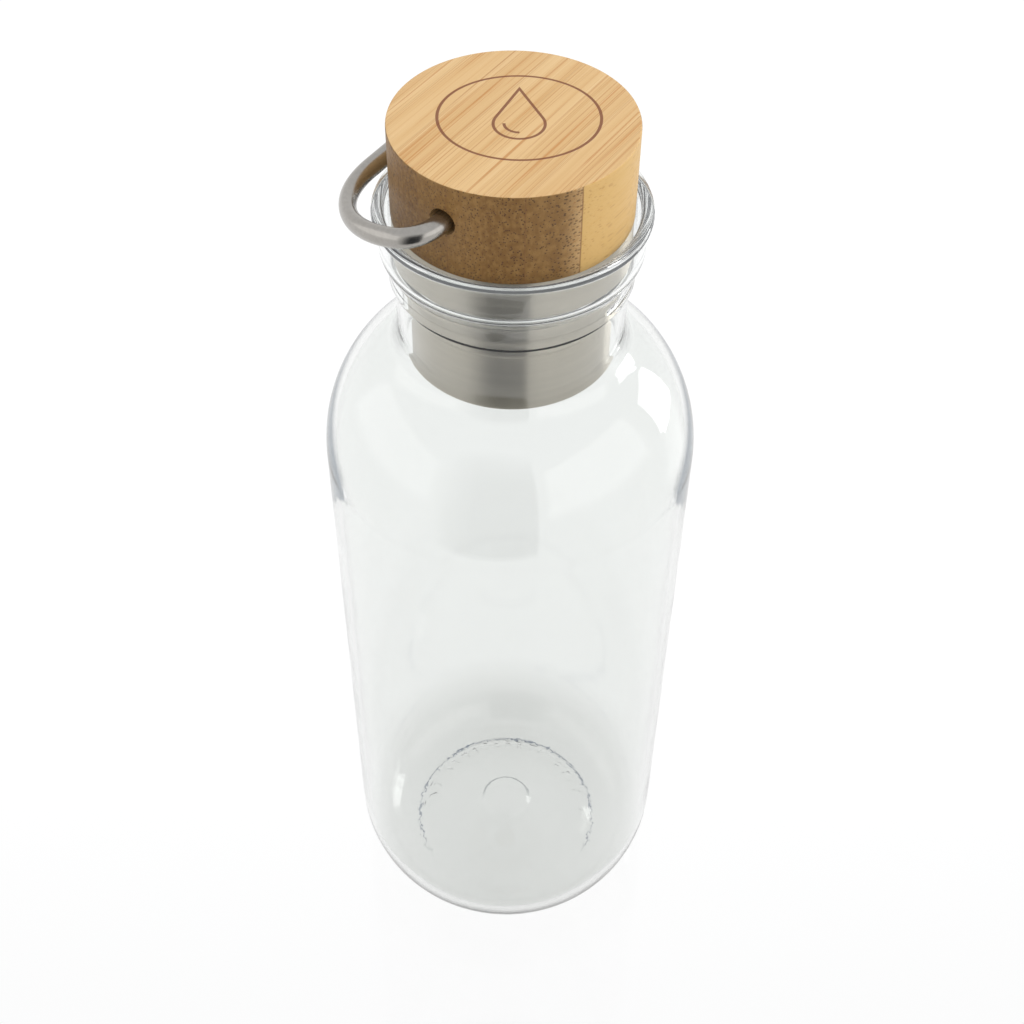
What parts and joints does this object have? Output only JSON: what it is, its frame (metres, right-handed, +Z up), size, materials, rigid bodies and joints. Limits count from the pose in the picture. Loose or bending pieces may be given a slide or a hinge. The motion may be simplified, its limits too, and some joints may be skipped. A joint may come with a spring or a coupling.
{
  "type": "water bottle",
  "caption": "Clear screw-top water bottle with a rounded shoulder, a cylindrical bamboo lid over a steel plug and a hinged steel bail.",
  "frame": {"origin": "centre of the standing ring, on the surface the bottle stands on", "axes": "+Z up along the bottle's axis; the bail's hinge axis is along Y and the bail lies towards -X"},
  "size_m": [0.073, 0.073, 0.2145],
  "materials": {
    "bottle_glass": "clear, faint green-grey tint",
    "bamboo": "fine-sanded laminated bamboo",
    "lid_steel": "brushed around the axis",
    "bail_steel": "satin",
    "screw_steel": "plain",
    "core_plastic": "moulded, off-white",
    "seal_rubber": "translucent silicone"
  },
  "bodies": {
    "bottle": {"bottle_body": "bottle_glass"},
    "seal": {"neck_gasket": "seal_rubber"},
    "lid": {"bamboo_cap": "bamboo", "steel_band": "lid_steel", "plug_shell": "lid_steel", "plug_core": "core_plastic", "core_screws": "screw_steel"},
    "bail": {"bail_handle": "bail_steel"}
  },
  "joints": [
    {"name": "lid_lift", "type": "slide", "parent": "bottle", "child": "seal", "axis": [0, 0, 1], "range_m": [0, 0.004]},
    {"name": "lid_turn", "type": "hinge", "parent": "seal", "child": "lid", "pos_m": [0, 0, 0.19], "axis": [0, 0, 1], "range_deg": [0, 360.1]},
    {"name": "bail_swing", "type": "hinge", "parent": "lid", "child": "bail", "pos_m": [0, 0, 0.2071], "axis": [0, 1, 0], "range_deg": [0, 212]}
  ],
  "couplings": [
    {"joint": "lid_turn", "follows": "lid_lift", "rad_per_m": 1570.8}
  ]
}
